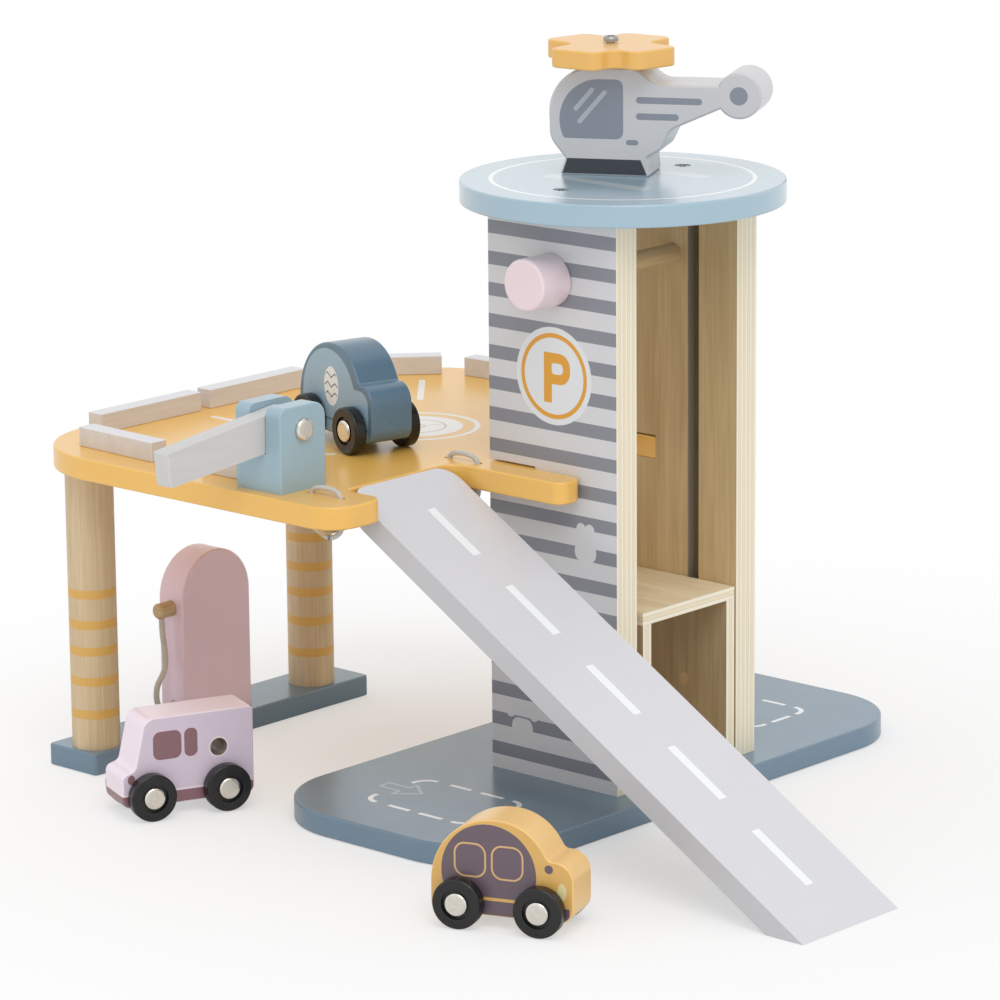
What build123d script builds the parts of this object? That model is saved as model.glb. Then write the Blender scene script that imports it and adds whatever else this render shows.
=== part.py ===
from build123d import *
import os
from math import asin, atan2, cos, degrees, hypot, radians, sin, tan

# Toy parking garage with a hand-wound lift, a helipad, a barrier, a ramp, a fuel pump,
# a helicopter and three cars. Millimetres, +Z up. The origin is on the underside of the
# base board, at the middle of the tower. The ramp runs down towards -Y, the deck lies
# towards +Y, and the striped wall of the tower is its -X wall.

# ---- boards, rods and fits -------------------------------------------------------------
BOARD = 9.0                 # base, deck, helipad, foot bar and ramp
TOWER_PLY = 12.0            # walls of the tower
CABIN_PLY = 5.0             # panels of the lift cabin
GLUE_GAP = 0.1              # between glued or nested flat faces
RUN_GAP = 0.4               # each side of a piece that slides
BORE_GAP = 0.1              # round a shaft that turns, on the radius
SCREW_SEAT = 0.05           # round a screw in its hole
EASE = 0.8                  # broken edges of the painted boards

# ---- screws ----------------------------------------------------------------------------
SCREW_HEAD = 6.5
SCREW_SHANK = 3.0
SCREW_LENGTH = 22.0
SCREW_SINK = 0.3            # head below the face of the wood
SCREW_CROSS = 3.6           # span of the cross recess
SCREW_CROSS_WIDTH = 0.9
SCREW_CROSS_DEPTH = 1.0

# ---- base board and tower --------------------------------------------------------------
BASE_LENGTH = 269.0
BASE_FRONT = 46.0           # from the middle of the tower to the front edge
BASE_BACK = 76.5            # and to the back edge
BASE_CORNER = 38.0
TOWER_WIDTH = 85.0
TOWER_DEPTH = 66.0
WALL_HEIGHT = 228.0
BASE_SCREW_INSET = 16.0     # from the edges of a wall to its lower screws

# ---- helipad ---------------------------------------------------------------------------
HELIPAD_DIAMETER = 128.4

# ---- deck ------------------------------------------------------------------------------
DECK_TOP = 135.0
DECK_LEFT = -145.0
DECK_RIGHT = 88.0
DECK_BACK = 201.0
DECK_FAR_LEFT_CORNER = 42.0
DECK_FAR_RIGHT_CORNER = 70.0
DECK_NEAR_RIGHT_CORNER = 20.0
DECK_LAP = 24.0             # how far the deck's tongues run into the walls
ARM_WIDTH = 13.4            # arms outside the walls
ARM_REACH = 49.0            # how far an arm passes the back of the tower
ARM_END_CORNER = 5.0
ARM_ROOT_CORNER = 8.0
NOTCH_BACK = 41.0           # y of the notch edge that the ramp butts on
FINGER_WIDTH = 28.5         # finger on the other side of the notch
FINGER_LENGTH = 21.0
FINGER_CORNER = 13.0
NOTCH_CORNER = 3.0
SLOT_HEADROOM = 0.8         # the walls' slots are this much taller than the deck

# ---- rails on the deck -----------------------------------------------------------------
RAIL = 8.0                  # square section
RAIL_LEFT_INSET = 13.9      # from the deck's left edge to the rails' outer faces
RAIL_BACK_INSET = 7.5       # from its back edge
RAIL_CURVE_INSET = 9.0      # from its round corner
RAIL_LONG = 56.5
RAIL_LONG_GAP = 5.3         # between the two long rails
RAIL_LONG_START = 36.4      # from the deck's left edge to the first long rail
RAIL_SIDE = 44.0
RAIL_SIDE_BACK = 25.0       # from the back edge to the side rail's end
RAIL_SIDE_SKEW = -2.7       # degrees from square, as it is glued
RAIL_SHORT = 30.0
RAIL_CURVE_ANGLES = (46.0, 4.0)   # where the short rails stand round the far corner
RAIL_NEAR = 26.5            # behind the barrier
RAIL_NEAR_GAP = 1.0

# ---- foot bar and posts ----------------------------------------------------------------
BAR_WIDTH = 28.0
BAR_Y = 179.5
BAR_LEFT = -136.0
BAR_RIGHT = 24.5
BAR_CORNER = 2.0
POST_DIAMETER = 19.6
POST_Y = 177.3              # the posts and the pump stand in one line
POST_LEFT_X = -124.3
POST_RIGHT_X = 1.5
TENON_DIAMETER = 10.0
TENON_LENGTH = 5.0

# ---- fuel pump -------------------------------------------------------------------------
PUMP_WIDTH = 39.0
PUMP_DEPTH = 14.0
PUMP_HEIGHT = 71.0
PUMP_LEFT_X = -80.5
NOZZLE_DIAMETER = 6.5
NOZZLE_LENGTH = 18.0
NOZZLE_INSERT = 10.0
NOZZLE_DROP = 22.5          # from the top of the pump to the nozzle
HOSE_DIAMETER = 2.5
HOSE_INSET = 2.6            # from the nozzle's free end to the hose
HOSE_SINK = 2.0             # length of each end inside its hole
HOSE_HOLE_HEIGHT = 8.0      # above the bar

# ---- barrier ---------------------------------------------------------------------------
BLOCK_WIDTH = 25.0          # along X
BLOCK_DEPTH = 24.5          # along Y
BLOCK_HEIGHT = 33.5
BLOCK_NEAR_X = 5.5          # from the deck's left edge
BLOCK_NEAR_Y = 12.0         # from the notch edge
BLOCK_SLOT_FLOOR = 15.0     # above the deck
BLOCK_EAR_LEFT = 3.5        # radius of its two upper corners
BLOCK_EAR_RIGHT = 6.0
BOOM_THICKNESS = 8.0
BOOM_ROOT_HEIGHT = 15.0
BOOM_TIP_HEIGHT = 13.4
BOOM_REACH = 64.0           # from the bolt to the tip
BOOM_DROOP = 6.0            # degrees below level, lying on the slot's floor
BOLT_HEIGHT = 24.0          # above the deck
BOLT_DIAMETER = 4.0
BOLT_CAP = 9.0
BOLT_CAP_HEIGHT = 1.8

# ---- ramp ------------------------------------------------------------------------------
RAMP_LEFT_GAP = 1.2         # from the deck's finger to the ramp
RAMP_RIGHT_GAP = 3.1        # and from the ramp to the deck's arm
RAMP_END_GAP = 0.4
RAMP_LEVEL = 0.4            # how far the ramp's top edge lies below the deck
RAMP_FOOT_Y = -184.0
RAMP_TOP_CORNER = 8.0
CROSSBAR_DIAMETER = 4.0
CROSSBAR_PAST = 6.0         # how far it passes the middle of each elastic loop
CROSSBAR_BACK = 2.4         # its axis, towards -Y from the notch edge
CROSSBAR_DROP = 3.8         # its axis, below the deck's underside
ELASTIC_DIAMETER = 2.0
ELASTIC_HOLE = 3.0
ELASTIC_SPAN = 16.5         # between the two holes of a loop
ELASTIC_BACK_HOLE = 7.6     # from the notch edge to the back hole
ELASTIC_LEFT_INSET = 11.5   # from the finger's inner edge to the left loop
ELASTIC_RIGHT_INSET = 6.0   # from the arm's outer edge to the right loop
ELASTIC_RISE = 2.8          # how high the loop bows over the deck
ELASTIC_CLEAR = 0.5         # from the loop to the crossbar

# ---- winch and lift --------------------------------------------------------------------
ROD_DIAMETER = 8.0
ROD_DROP = 25.5             # from the top of the walls to the rod's axis
KNOB_DIAMETER = 20.6
KNOB_LENGTH = 16.0
KNOB_EDGE = 1.2
KNOB_SOCKET = 9.0
COLLAR_DIAMETER = 14.0
COLLAR_LENGTH = 6.0
CORD_HOLE = 2.5
CABIN_HEIGHT = 71.0
CABIN_CLEAR_LEFT = 4.2
CABIN_CLEAR_RIGHT = 0.4
CABIN_DEPTH = 65.0
GUIDE_SLOT_WIDTH = 6.0
GUIDE_SLOT_DEPTH = 6.0
GUIDE_SLOT_Y = -10.5
GUIDE_SLOT_FOOT = 14.0      # where the slot stops above the base
GUIDE_PIN_DIAMETER = 5.0
GUIDE_PIN_REACH = 5.0
GUIDE_PIN_HEIGHT = 30.0     # above the cabin's underside

# ---- helicopter ------------------------------------------------------------------------
HELI_THICKNESS = 23.5
HELI_TAIL_ANGLE = -62.0     # the way its tail points
HELI_ASIDE = -12.75         # from the helipad's middle to its middle plane
HELI_HEIGHT = 43.0
HELI_NOSE = 30.3            # from the helipad's middle to the nose
HELI_TAIL_REACH = 46.0      # and to the middle of the tail disc
HELI_TAIL_HEIGHT = 33.1
HELI_TAIL_RADIUS = 9.1
ROTOR_SPAN = 54.0
ROTOR_BLADE = 23.0
ROTOR_THICKNESS = 7.4
ROTOR_BACK = -7.5           # along the body, from the helipad's middle
ROTOR_TURN = 6.2            # heading of one pair of blades
ROTOR_CROSSING = 77.0       # between the two pairs
ROTOR_CLEAR = 0.7
ROTOR_SCREW_HEAD = 6.0
ROTOR_SCREW_HEIGHT = 2.0
ROTOR_SCREW_SHANK = 3.2
ROTOR_SCREW_LENGTH = 18.0

# ---- cars ------------------------------------------------------------------------------
CAR_THICKNESS = 19.0
CAR_CLEARANCE = 4.8         # under the body
CAR_REST_GAP = 0.1          # under the wheels that stand on the deck
BEETLE_HEIGHT = 41.5
BEETLE_REACH = 28.0         # from the middle between the axles to nose and tail
BEETLE_BONNET = 28.2
BEETLE_SCREEN_U = 18.4      # foot of the windscreen
BEETLE_SCREEN_HEIGHT = 27.9
BEETLE_ROOF_U = 9.9         # where the windscreen would meet the roof
BEETLE_SILL_RADIUS = 3.0
BEETLE_CHIN_RADIUS = 6.0
BEETLE_NOSE_RADIUS = 7.5
BEETLE_SCREEN_RADIUS = 2.5
BEETLE_ROOF_RADIUS = 20.5
BEETLE_TAIL_RADIUS = 25.5
VAN_HEIGHT = 40.6
VAN_TAIL = 28.7             # from the middle between the axles
VAN_NOSE = 27.2
VAN_BONNET = 18.6
VAN_SCREEN_U = 21.8
VAN_SCREEN_HEIGHT = 20.3
VAN_ROOF_U = 17.2
VAN_SILL_RADIUS = 3.0
VAN_CHIN_RADIUS = 4.0
VAN_BONNET_RADIUS = 3.0
VAN_ROOF_RADIUS = 5.0
VAN_TAIL_RADIUS = 2.0
WHEELBASE = 31.7
WHEEL_DIAMETER = 19.0
WHEEL_WIDTH = 5.2
WHEEL_OFF = 0.5             # from the body to the wheel
WHEEL_DISH = 11.5
WHEEL_DISH_DEPTH = 1.2
AXLE_DIAMETER = 4.0
CAP_DIAMETER = 9.0
CAP_HEIGHT = 1.8
VAN_HOLE = 7.2
VAN_HOLE_BACK = -13.7       # from the middle between the axles
VAN_HOLE_HEIGHT = 25.5

# middle between the axles on the ground, and the way each car heads, in degrees
YELLOW_CAR_PLACE = (-164.5, -86.5)
YELLOW_CAR_HEADING = -69.3
PINK_VAN_PLACE = (-143.1, 110.1)
PINK_VAN_HEADING = 157.5
BLUE_CAR_PLACE = (-54.4, 94.8)
BLUE_CAR_HEADING = -105.2

# ---- places worked out from the sizes above --------------------------------------------
BASE_TOP = BOARD
WALL_TOP = BASE_TOP + WALL_HEIGHT
HELIPAD_TOP = WALL_TOP + BOARD
DECK_UNDER = DECK_TOP - BOARD
TOWER_X = TOWER_WIDTH / 2
TOWER_Y = TOWER_DEPTH / 2
SHAFT_X = TOWER_X - TOWER_PLY
ROD_Z = WALL_TOP - ROD_DROP
ARM_X = TOWER_X + GLUE_GAP + ARM_WIDTH
ARM_END_Y = TOWER_Y - ARM_REACH
LAP_Y = TOWER_Y - DECK_LAP
FINGER_X = DECK_LEFT + FINGER_WIDTH
FINGER_Y = NOTCH_BACK - FINGER_LENGTH
ELASTIC_LEFT_X = FINGER_X - ELASTIC_LEFT_INSET
ELASTIC_RIGHT_X = -ARM_X + ELASTIC_RIGHT_INSET
BAR_TOP = BOARD
RAMP_LEFT = FINGER_X + RAMP_LEFT_GAP
RAMP_RIGHT = -ARM_X - RAMP_RIGHT_GAP
RAMP_HINGE_Y = NOTCH_BACK - RAMP_END_GAP
RAMP_HINGE_Z = DECK_TOP - RAMP_LEVEL
BLOCK_X = DECK_LEFT + BLOCK_NEAR_X + BLOCK_WIDTH / 2
BLOCK_Y = NOTCH_BACK + BLOCK_NEAR_Y + BLOCK_DEPTH / 2
BOLT_Z = DECK_TOP + BOLT_HEIGHT
CABIN_LEFT = -SHAFT_X + CABIN_CLEAR_LEFT
CABIN_RIGHT = SHAFT_X - CABIN_CLEAR_RIGHT
UP = (0, 0, 1)
QUARTER = 90.0              # degrees


# ---- helpers ---------------------------------------------------------------------------
def span(x, y, z):
    """A box between three pairs of faces."""
    low = Align.MIN
    return Pos(x[0], y[0], z[0]) * Box(x[1] - x[0], y[1] - y[0], z[1] - z[0], align=(low, low, low))


def board(corners, radii, z, thickness=BOARD):
    """A flat board of a rounded outline, its underside at z, with its edges eased."""
    outline = make_face(FilletPolyline(*corners, radius=radii, close=True))
    slab = Pos(0, 0, z) * extrude(outline, thickness, dir=UP)
    return ease_rims(slab, z, z + thickness)


def ease_rims(slab, low, high, ease=EASE):
    """Rounds the top and bottom rims of a flat slab."""
    rims = [edge for edge in slab.edges() if abs(edge.center().Z - low) < 1e-3]
    rims += [edge for edge in slab.edges() if abs(edge.center().Z - high) < 1e-3]
    return fillet(rims, ease)


def bar_between(start, direction, diameter, length):
    """A round bar that begins at a point and runs in a direction."""
    place = Plane(origin=start, z_dir=direction)
    return place * Cylinder(diameter / 2, length, align=(Align.CENTER, Align.CENTER, Align.MIN))


def cone_between(start, direction, first, last, length):
    """A round taper that begins at a point and runs in a direction."""
    place = Plane(origin=start, z_dir=direction)
    return place * Cone(first / 2, last / 2, length, align=(Align.CENTER, Align.CENTER, Align.MIN))


def along(start, direction, distance):
    """The point at a distance from another."""
    return tuple(a + distance * b for a, b in zip(start, direction))


def screw(face_point, direction, seat=0.0):
    """A countersunk screw, or the hole that it sits in where a seat gap is given."""
    head_point = along(face_point, direction, SCREW_SINK)
    taper = (SCREW_HEAD - SCREW_SHANK) / 2
    piece = cone_between(head_point, direction, SCREW_HEAD + 2 * seat, SCREW_SHANK + 2 * seat, taper)
    piece += bar_between(head_point, direction, SCREW_SHANK + 2 * seat, SCREW_LENGTH + seat)
    if seat:
        return piece + bar_between(face_point, direction, SCREW_HEAD + 2 * seat, SCREW_SINK)
    place = Plane(origin=head_point, z_dir=direction)
    piece -= place * Box(SCREW_CROSS, SCREW_CROSS_WIDTH, 2 * SCREW_CROSS_DEPTH)
    return piece - place * Box(SCREW_CROSS_WIDTH, SCREW_CROSS, 2 * SCREW_CROSS_DEPTH)


def screw_set(points, direction):
    """Identical screws, kept as separate solids."""
    return Compound(children=[screw(point, direction) for point in points])


def seat_screws(piece, points, direction):
    """Cuts the holes of a set of screws."""
    for point in points:
        piece -= screw(point, direction, SCREW_SEAT)
    return piece


# ---- places of the screws --------------------------------------------------------------
WALL_MIDDLE_X = (TOWER_X + SHAFT_X) / 2
HELIPAD_SCREWS = [(side * WALL_MIDDLE_X, 0.0, HELIPAD_TOP) for side in (-1, 1)]
BASE_SCREWS = [(side * WALL_MIDDLE_X, end * (TOWER_Y - BASE_SCREW_INSET), 0.0)
               for side in (-1, 1) for end in (-1, 1)]
PUMP_MIDDLE_X = PUMP_LEFT_X + PUMP_WIDTH / 2
FOOT_SCREWS = [(x, POST_Y, 0.0) for x in (POST_LEFT_X, POST_RIGHT_X)]
FOOT_SCREWS += [(PUMP_MIDDLE_X + side * PUMP_WIDTH / 4, POST_Y, 0.0) for side in (-1, 1)]
BLOCK_SCREWS = [(BLOCK_X, BLOCK_Y + side * BLOCK_DEPTH / 4, DECK_UNDER) for side in (-1, 1)]


# ---- base and tower --------------------------------------------------------------------
def base_board():
    """Slate board with rounded ends under the tower."""
    half = BASE_LENGTH / 2
    corners = [(-half, -BASE_FRONT), (half, -BASE_FRONT), (half, BASE_BACK), (-half, BASE_BACK)]
    slab = board(corners, [BASE_CORNER] * 4, 0.0)
    return seat_screws(slab, BASE_SCREWS, UP)


def tower_wall(side):
    """One ply wall, slotted from its back edge for the deck and bored for the rod."""
    inner = side * SHAFT_X
    outer = side * TOWER_X
    x = (min(inner, outer), max(inner, outer))
    wall = span(x, (-TOWER_Y, TOWER_Y), (BASE_TOP, WALL_TOP))
    wall -= span((x[0] - 1, x[1] + 1), (LAP_Y, TOWER_Y + 1), (DECK_UNDER, DECK_TOP + SLOT_HEADROOM))
    wall = seat_screws(wall, [point for point in BASE_SCREWS if point[0] * side > 0], UP)
    return seat_screws(wall, [point for point in HELIPAD_SCREWS if point[0] * side > 0], (0, 0, -1))


def tower_wall_striped():
    """The -X wall, which the rod passes right through to the knob."""
    wall = tower_wall(-1)
    bore = ROD_DIAMETER + 2 * BORE_GAP
    return wall - bar_between((-TOWER_X - 1, 0, ROD_Z), (1, 0, 0), bore, TOWER_PLY + 2)


def tower_wall_slotted():
    """The +X wall, with the lift's guide slot and the rod's far bearing."""
    wall = tower_wall(1)
    bore = ROD_DIAMETER + 2 * BORE_GAP
    wall -= bar_between((SHAFT_X - 1, 0, ROD_Z), (1, 0, 0), bore, TOWER_PLY + 2)
    half = GUIDE_SLOT_WIDTH / 2
    return wall - span((SHAFT_X - 1, SHAFT_X + GUIDE_SLOT_DEPTH), (GUIDE_SLOT_Y - half, GUIDE_SLOT_Y + half),
                       (BASE_TOP + GUIDE_SLOT_FOOT, WALL_TOP + 1))


def helipad():
    """Round board screwed down on the two walls."""
    disc = Pos(0, 0, WALL_TOP) * Cylinder(HELIPAD_DIAMETER / 2, BOARD, align=(Align.CENTER, Align.CENTER, Align.MIN))
    disc = ease_rims(disc, WALL_TOP, HELIPAD_TOP)
    return seat_screws(disc, HELIPAD_SCREWS, (0, 0, -1))


# ---- deck ------------------------------------------------------------------------------
def deck_outline():
    """Corners of the deck and their radii, counter-clockwise from the far left."""
    shaft = SHAFT_X
    face = TOWER_X + GLUE_GAP
    return [
        ((DECK_LEFT, DECK_BACK), DECK_FAR_LEFT_CORNER),
        ((DECK_LEFT, FINGER_Y), FINGER_CORNER),
        ((FINGER_X, FINGER_Y), FINGER_CORNER / 2),
        ((FINGER_X, NOTCH_BACK), NOTCH_CORNER),
        ((-ARM_X, NOTCH_BACK), ARM_ROOT_CORNER),
        ((-ARM_X, ARM_END_Y), ARM_END_CORNER),
        ((-face, ARM_END_Y), ARM_END_CORNER),
        ((-face, LAP_Y + GLUE_GAP), 0.0),
        ((-shaft, LAP_Y + GLUE_GAP), 0.0),
        ((-shaft, TOWER_Y), 0.0),
        ((shaft, TOWER_Y), 0.0),
        ((shaft, LAP_Y + GLUE_GAP), 0.0),
        ((face, LAP_Y + GLUE_GAP), 0.0),
        ((face, ARM_END_Y), ARM_END_CORNER),
        ((ARM_X, ARM_END_Y), ARM_END_CORNER),
        ((ARM_X, TOWER_Y), ARM_ROOT_CORNER),
        ((DECK_RIGHT, TOWER_Y), DECK_NEAR_RIGHT_CORNER),
        ((DECK_RIGHT, DECK_BACK), DECK_FAR_RIGHT_CORNER),
    ]


def elastic_holes(x):
    """Middles of the two holes of one elastic loop, back hole first."""
    back = NOTCH_BACK + ELASTIC_BACK_HOLE
    return [(x, back), (x, back - ELASTIC_SPAN)]


def deck():
    """Yellow board that laps into both walls and is bored for posts, screws and elastic."""
    corners = [corner for corner, radius in deck_outline()]
    radii = [radius for corner, radius in deck_outline()]
    slab = board(corners, radii, DECK_UNDER)
    for x in (POST_LEFT_X, POST_RIGHT_X):
        slab -= bar_between((x, POST_Y, DECK_UNDER - 1), UP, TENON_DIAMETER + 2 * GLUE_GAP,
                            TENON_LENGTH + 1 + GLUE_GAP)
    for x in (ELASTIC_LEFT_X, ELASTIC_RIGHT_X):
        for hole_x, hole_y in elastic_holes(x):
            slab -= bar_between((hole_x, hole_y, DECK_UNDER - 1), UP, ELASTIC_HOLE, BOARD + 2)
    return seat_screws(slab, BLOCK_SCREWS, UP)


def rail(middle, heading, length):
    """A square strip glued on the deck, eased along its edges."""
    strip = Pos(0, 0, RAIL / 2) * Box(length, RAIL, RAIL)
    strip = fillet(strip.edges(), EASE / 2)
    return Pos(middle[0], middle[1], DECK_TOP) * Rot(0, 0, heading) * strip


def rail_places():
    """Middle, heading and length of each rail."""
    left = DECK_LEFT + RAIL_LEFT_INSET + RAIL / 2
    back = DECK_BACK - RAIL_BACK_INSET - RAIL / 2
    places = [((left, DECK_BACK - RAIL_SIDE_BACK - RAIL_SIDE / 2), QUARTER + RAIL_SIDE_SKEW, RAIL_SIDE)]
    for count in range(2):
        start = DECK_LEFT + RAIL_LONG_START + count * (RAIL_LONG + RAIL_LONG_GAP)
        places.append(((start + RAIL_LONG / 2, back), 0.0, RAIL_LONG))
    reach = DECK_FAR_RIGHT_CORNER - RAIL_CURVE_INSET - RAIL / 2
    for angle in RAIL_CURVE_ANGLES:
        turn = radians(angle)
        middle = (DECK_RIGHT - DECK_FAR_RIGHT_CORNER + reach * cos(turn),
                  DECK_BACK - DECK_FAR_RIGHT_CORNER + reach * sin(turn))
        places.append((middle, angle + QUARTER, RAIL_SHORT))
    near = BLOCK_Y + BLOCK_DEPTH / 2 + RAIL_NEAR_GAP
    places.append(((left, near + RAIL_NEAR / 2), QUARTER, RAIL_NEAR))
    return places


# ---- foot bar, posts and pump ----------------------------------------------------------
def foot_bar():
    """Slate bar on the floor under the deck's far end."""
    low = BAR_Y - BAR_WIDTH / 2
    high = BAR_Y + BAR_WIDTH / 2
    corners = [(BAR_LEFT, low), (BAR_RIGHT, low), (BAR_RIGHT, high), (BAR_LEFT, high)]
    slab = board(corners, [BAR_CORNER] * 4, 0.0)
    return seat_screws(slab, FOOT_SCREWS, UP)


def post(x):
    """Round post with a tenon glued into the deck."""
    shaft = bar_between((x, POST_Y, BAR_TOP), UP, POST_DIAMETER, DECK_UNDER - BAR_TOP)
    shaft += bar_between((x, POST_Y, DECK_UNDER), UP, TENON_DIAMETER, TENON_LENGTH)
    return seat_screws(shaft, [(x, POST_Y, 0.0)], UP)


NOZZLE_Z = BAR_TOP + PUMP_HEIGHT - NOZZLE_DROP
HOSE_HOLE_Z = BAR_TOP + HOSE_HOLE_HEIGHT
HOSE_X = PUMP_LEFT_X - NOZZLE_LENGTH + NOZZLE_INSERT + HOSE_INSET


def pump_body():
    """Pink arched slab, bored for its nozzle and its hose."""
    half = PUMP_WIDTH / 2
    arch = Rectangle(PUMP_WIDTH, PUMP_HEIGHT - half, align=(Align.CENTER, Align.MIN))
    arch += Pos(0, PUMP_HEIGHT - half) * Circle(half)
    place = Plane(origin=(PUMP_MIDDLE_X, POST_Y + PUMP_DEPTH / 2, BAR_TOP), x_dir=(1, 0, 0), z_dir=(0, -1, 0))
    slab = extrude(place * arch, PUMP_DEPTH)
    faces = [POST_Y - PUMP_DEPTH / 2, POST_Y + PUMP_DEPTH / 2]
    rims = [edge for edge in slab.edges() if min(abs(edge.center().Y - face) for face in faces) < 1e-3
            and edge.center().Z > BAR_TOP + 1]
    slab = fillet(rims, EASE)
    slab -= bar_between((PUMP_LEFT_X - 1, POST_Y, NOZZLE_Z), (1, 0, 0), NOZZLE_DIAMETER + 2 * BORE_GAP,
                        NOZZLE_INSERT + 1 + BORE_GAP)
    slab -= bar_between((PUMP_LEFT_X - 1, POST_Y, HOSE_HOLE_Z), (1, 0, 0), HOSE_DIAMETER + 2 * GLUE_GAP,
                        HOSE_SINK + 1 + GLUE_GAP)
    return seat_screws(slab, FOOT_SCREWS[2:], UP)


def pump_nozzle():
    """Dowel that plugs into the side of the pump."""
    start = (PUMP_LEFT_X - NOZZLE_LENGTH + NOZZLE_INSERT, POST_Y, NOZZLE_Z)
    dowel = bar_between(start, (1, 0, 0), NOZZLE_DIAMETER, NOZZLE_LENGTH)
    dowel = chamfer(dowel.edges(), EASE)
    hole = bar_between((HOSE_X, POST_Y, NOZZLE_Z - NOZZLE_DIAMETER), UP, HOSE_DIAMETER + 2 * GLUE_GAP,
                       NOZZLE_DIAMETER / 2 + HOSE_SINK + GLUE_GAP)
    return dowel - hole


def hose_route():
    """Points of the hose, from inside the nozzle down, out and back into the pump."""
    top = NOZZLE_Z - NOZZLE_DIAMETER / 2 + HOSE_SINK
    low = HOSE_HOLE_Z
    face = PUMP_LEFT_X
    return [
        (HOSE_X, POST_Y, top),
        (HOSE_X, POST_Y, top - 7.8),
        (HOSE_X + 1.2, POST_Y - 0.4, top - 16.4),
        (HOSE_X + 0.6, POST_Y - 0.8, top - 24.4),
        (face - 9.4, POST_Y - 0.6, low + 10.0),
        (face - 10.0, POST_Y - 0.3, low + 4.4),
        (face - 8.2, POST_Y, low - 0.4),
        (face - 4.9, POST_Y + 0.1, low - 1.6),
        (face - 1.4, POST_Y, low),
        (face + HOSE_SINK, POST_Y, low),
    ]


def tube(points, diameter):
    """A round cord along straight runs that are joined by arcs."""
    radii = []
    for before, here, after in zip(points, points[1:], points[2:]):
        first = Vector(*here) - Vector(*before)
        second = Vector(*after) - Vector(*here)
        turn = radians(first.get_angle(second))
        radii.append(0.45 * min(first.length, second.length) / tan(turn / 2))
    path = FilletPolyline(*points, radius=radii)
    print("cord radii", [round(radius, 1) for radius in radii], "length", round(path.length, 1))
    start = Plane(origin=path @ 0, z_dir=path % 0)
    return sweep(start * Circle(diameter / 2), path=path)


# ---- barrier ---------------------------------------------------------------------------
def barrier_block():
    """Pale blue block with a slot through its top for the boom."""
    half_x = BLOCK_WIDTH / 2
    half_y = BLOCK_DEPTH / 2
    block = span((BLOCK_X - half_x, BLOCK_X + half_x), (BLOCK_Y - half_y, BLOCK_Y + half_y),
                 (DECK_TOP, DECK_TOP + BLOCK_HEIGHT))
    top = DECK_TOP + BLOCK_HEIGHT
    for side, radius in ((-1, BLOCK_EAR_LEFT), (1, BLOCK_EAR_RIGHT)):
        ear = [edge for edge in block.edges().filter_by(Axis.Y) if abs(edge.center().Z - top) < 1e-3
               and (edge.center().X - BLOCK_X) * side > half_x / 2]
        block = fillet(ear, radius)
    corners = [edge for edge in block.edges().filter_by(Axis.Z)]
    block = fillet(corners, EASE)
    slot = BOOM_THICKNESS / 2 + RUN_GAP
    block -= span((BLOCK_X - half_x - 1, BLOCK_X + half_x + 1), (BLOCK_Y - slot, BLOCK_Y + slot),
                  (DECK_TOP + BLOCK_SLOT_FLOOR, top + 1))
    block -= bar_between((BLOCK_X, BLOCK_Y - half_y - 1, BOLT_Z), (0, 1, 0), BOLT_DIAMETER + 2 * BORE_GAP,
                         BLOCK_DEPTH + 2)
    return seat_screws(block, BLOCK_SCREWS, UP)


def barrier_boom():
    """Tapered arm that swings up on the bolt; it is drawn level and then let down."""
    root = BOOM_ROOT_HEIGHT / 2
    tip = BOOM_TIP_HEIGHT / 2
    blade = make_face(Polyline((0, -root), (0, root), (-BOOM_REACH, tip), (-BOOM_REACH, -tip), close=True))
    blade += Circle(root)
    place = Plane(origin=(0, BOOM_THICKNESS / 2, 0), x_dir=(1, 0, 0), z_dir=(0, -1, 0))
    arm = extrude(place * blade, BOOM_THICKNESS)
    tips = [edge for edge in arm.edges() if abs(edge.center().X + BOOM_REACH) < 1e-3]
    arm = fillet(tips, EASE)
    arm -= bar_between((0, -BOOM_THICKNESS, 0), (0, 1, 0), BOLT_DIAMETER + 2 * BORE_GAP, 2 * BOOM_THICKNESS)
    return Pos(BLOCK_X, BLOCK_Y, BOLT_Z) * Rot(0, -BOOM_DROOP, 0) * arm


def barrier_bolt():
    """Bolt across the slot, with a round cap at each end."""
    half = BLOCK_DEPTH / 2
    bolt = bar_between((BLOCK_X, BLOCK_Y - half, BOLT_Z), (0, 1, 0), BOLT_DIAMETER, BLOCK_DEPTH)
    for side in (-1, 1):
        face = (BLOCK_X, BLOCK_Y + side * half, BOLT_Z)
        cap = bar_between(face, (0, side, 0), BOLT_CAP, BOLT_CAP_HEIGHT)
        rim = [edge for edge in cap.edges() if abs(edge.center().Y - face[1]) > BOLT_CAP_HEIGHT / 2]
        bolt += fillet(rim, BOLT_CAP_HEIGHT * 0.6)
    return bolt


# ---- ramp ------------------------------------------------------------------------------
def ramp_slope():
    """The ramp's angle below level."""
    return atan2(RAMP_HINGE_Z, RAMP_HINGE_Y - RAMP_FOOT_Y)


def crossbar_axis():
    """Where the crossbar lies in the YZ plane."""
    return RAMP_HINGE_Y - CROSSBAR_BACK, DECK_UNDER - CROSSBAR_DROP


def crossbar_start():
    """The crossbar's end under the finger, and its length."""
    left = ELASTIC_LEFT_X - CROSSBAR_PAST
    right = ELASTIC_RIGHT_X + CROSSBAR_PAST
    return left, right - left


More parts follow.
